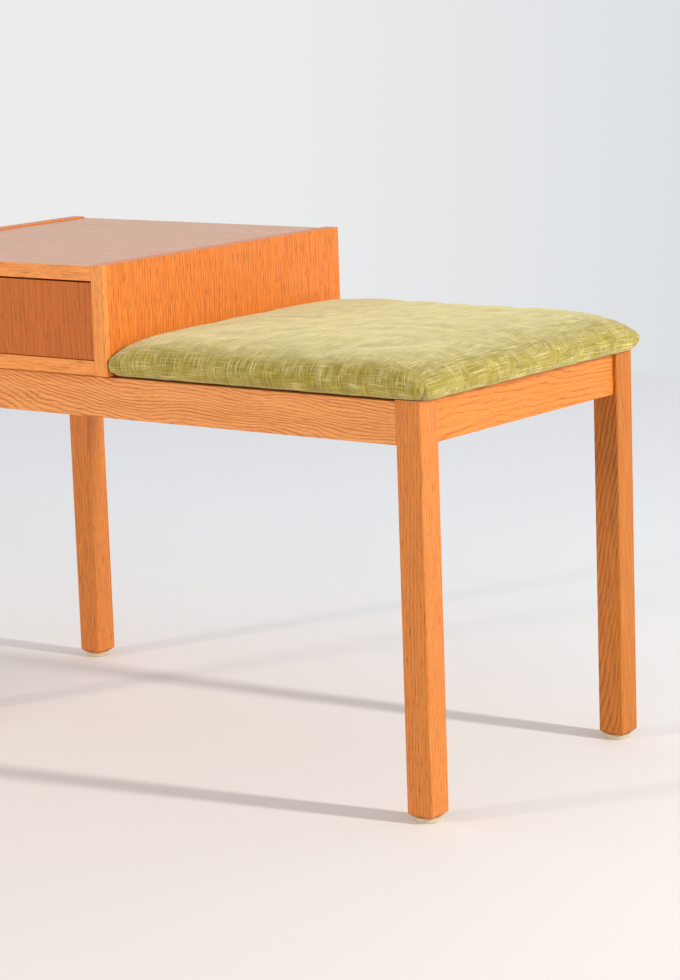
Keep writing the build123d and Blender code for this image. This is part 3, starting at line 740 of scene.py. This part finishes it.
bpy.ops.object.modifier_apply(modifier="shell")
bpy.ops.object.shade_smooth()
print("dust cloth:", len(dust_cloth.data.polygons), "faces")

# %% [markdown]
# Dust cloth is spun-bonded: fibres melted together into a black felt, here with a grain of
# about 2 mm. Years of dust have turned it grey in clouds of 50 mm or so. It has no gloss.

# %% Its cloth and its place
felt_count, dust_count, felt_depth = 450.0, 18.0, 0.0002
lining, tree, shader = new_material("black_spun_dust_cloth")
place = add_node(tree, "ShaderNodeTexCoord").outputs["Object"]
felted, dust = (
    add_node(tree, "ShaderNodeTexNoise", {"Scale": count, "Detail": detail}, {0: place}).outputs["Fac"]
    for count, detail in ((felt_count, 3.0), (dust_count, 4.0)))
blend = add_node(tree, "ShaderNodeMath", links={0: felted, 1: dust}, operation="MULTIPLY")
blend = add_node(tree, "ShaderNodeMapRange", {"From Min": 0.15, "From Max": 0.4},
                 {"Value": blend.outputs[0]})
colour = add_node(tree, "ShaderNodeMix", {6: linear("1E1C1A"), 7: linear("3A3631")}, {0: blend.outputs[0]},
                  data_type="RGBA")
tree.links.new(colour.outputs[2], shader.inputs["Base Color"])
bump = add_node(tree, "ShaderNodeBump", {"Strength": 0.4, "Distance": felt_depth}, {"Height": felted})
tree.links.new(bump.outputs[0], shader.inputs["Normal"])
shader.inputs["Roughness"].default_value = 0.95
dust_cloth.data.materials.append(lining)
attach(dust_cloth, "bench")
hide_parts("seat_lining")

# %% [markdown]
# The bench stands on a pale painted floor that ends a good way behind it. There is no wall,
# because a wall would hide the bench from anyone who walks round it: the studio's white
# backdrop is the world itself. The paint goes from warmer in front to cooler behind, which is
# painted light: warm light near the bench and cooler light further back.

# %% The stage
floor_edge, floor_width = 2.42, 16.0
warm_light_until, cool_light_from = -0.6, 1.0
bpy.ops.object.select_all(action="DESELECT")
bpy.ops.mesh.primitive_plane_add(size=floor_width, location=(0, floor_edge - floor_width / 2, 0))
bpy.ops.object.transform_apply(location=True, rotation=True, scale=True)
floor = bpy.context.object
floor.name = "floor"
floor_paint, tree, shader = new_material("matt_floor_paint")
place = add_node(tree, "ShaderNodeTexCoord").outputs["Object"]
depth = add_node(tree, "ShaderNodeSeparateXYZ", links={0: place}).outputs["Y"]
share = add_node(tree, "ShaderNodeMapRange", {"From Min": warm_light_until, "From Max": cool_light_from},
                 {"Value": depth})
# The warm front tone and the cool back tone of the floor are painted light.
warm_lit_paint, cool_lit_paint = linear("EDE8E3"), linear("F2F5F7")
paint_tone = add_node(tree, "ShaderNodeMix", {6: warm_lit_paint, 7: cool_lit_paint}, {0: share.outputs[0]},
                      data_type="RGBA")
tree.links.new(paint_tone.outputs[2], shader.inputs["Base Color"])
shader.inputs["Roughness"].default_value = 0.8
floor.data.materials.append(floor_paint)
print("floor from y =", floor_edge - floor_width, "to", floor_edge)

# %% [markdown]
# The room is bright on all sides, so the world gives most of the light. It is white near
# the horizon and greyer overhead, so the floor under the bench stays almost as bright as
# the floor round it. Below the horizon, where only the backdrop shows, it is a pale grey
# that falls off to the right.

# %% The light of the room
falls_from, falls_to, horizon_blur = -0.62, -0.46, 0.01
world = bpy.data.worlds.new("studio")
bpy.context.scene.world = world
world.use_nodes = True
sky = world.node_tree
heading = add_node(sky, "ShaderNodeSeparateXYZ", links={
    0: add_node(sky, "ShaderNodeTexCoord").outputs["Generated"]}).outputs
glow = add_node(sky, "ShaderNodeValToRGB", links={0: heading["Z"]}, stops=[
    (0.0, linear("FFFFFF")), (0.35, linear("F4F4F6")), (1.0, linear("A8AAB0"))])
sideways = add_node(sky, "ShaderNodeMapRange", {"From Min": falls_from, "From Max": falls_to},
                    {"Value": heading["X"]})
backdrop_left, backdrop_right = linear("ECECEC"), linear("D6DCE1")
backdrop = add_node(sky, "ShaderNodeMix", {6: backdrop_left, 7: backdrop_right}, {0: sideways.outputs[0]},
                    data_type="RGBA")
above = add_node(sky, "ShaderNodeMapRange", {"From Min": -horizon_blur, "From Max": horizon_blur},
                 {"Value": heading["Z"]})
around = add_node(sky, "ShaderNodeMix", links={
    0: above.outputs[0], 6: backdrop.outputs[2], 7: glow.outputs[0]}, data_type="RGBA")
sky.links.new(around.outputs[2], sky.nodes["Background"].inputs["Color"])
sky.nodes["Background"].inputs["Strength"].default_value = 1.0
bpy.context.scene.view_settings.view_transform = "Standard"
print("world:", world.name, "with", len(sky.nodes), "nodes")

# %% [markdown]
# A tall narrow window to the right makes the long shadows, and a second, weaker one far to
# the front left lifts the front faces. Both are area lights, as a window is, and both look
# at the middle of the bench. A narrow one keeps the shadows of the legs sharp.

# %% The windows
bench_middle = (0, 0, 0.3)


def window(name, place, size, watts, colour):
    """A rectangular soft light that looks at the middle of the bench."""
    bpy.ops.object.select_all(action="DESELECT")
    bpy.ops.object.light_add(type="AREA", location=place)
    light = bpy.context.object
    light.name = name
    light.data.shape = "RECTANGLE"
    light.data.size, light.data.size_y = size
    light.data.energy = watts
    light.data.color = linear(colour)[:3]
    light.rotation_euler = (Vector(bench_middle) - Vector(place)).to_track_quat("-Z", "Y").to_euler()
    print(name, watts, "W")


window("window", place=(3.73, 0.45, 1.98), size=(0.2, 0.8), watts=112, colour="FFFAF4")
window("far_window", place=(-1.97, -3.61, 1.5), size=(0.35, 0.8), watts=45, colour="FFEFDC")
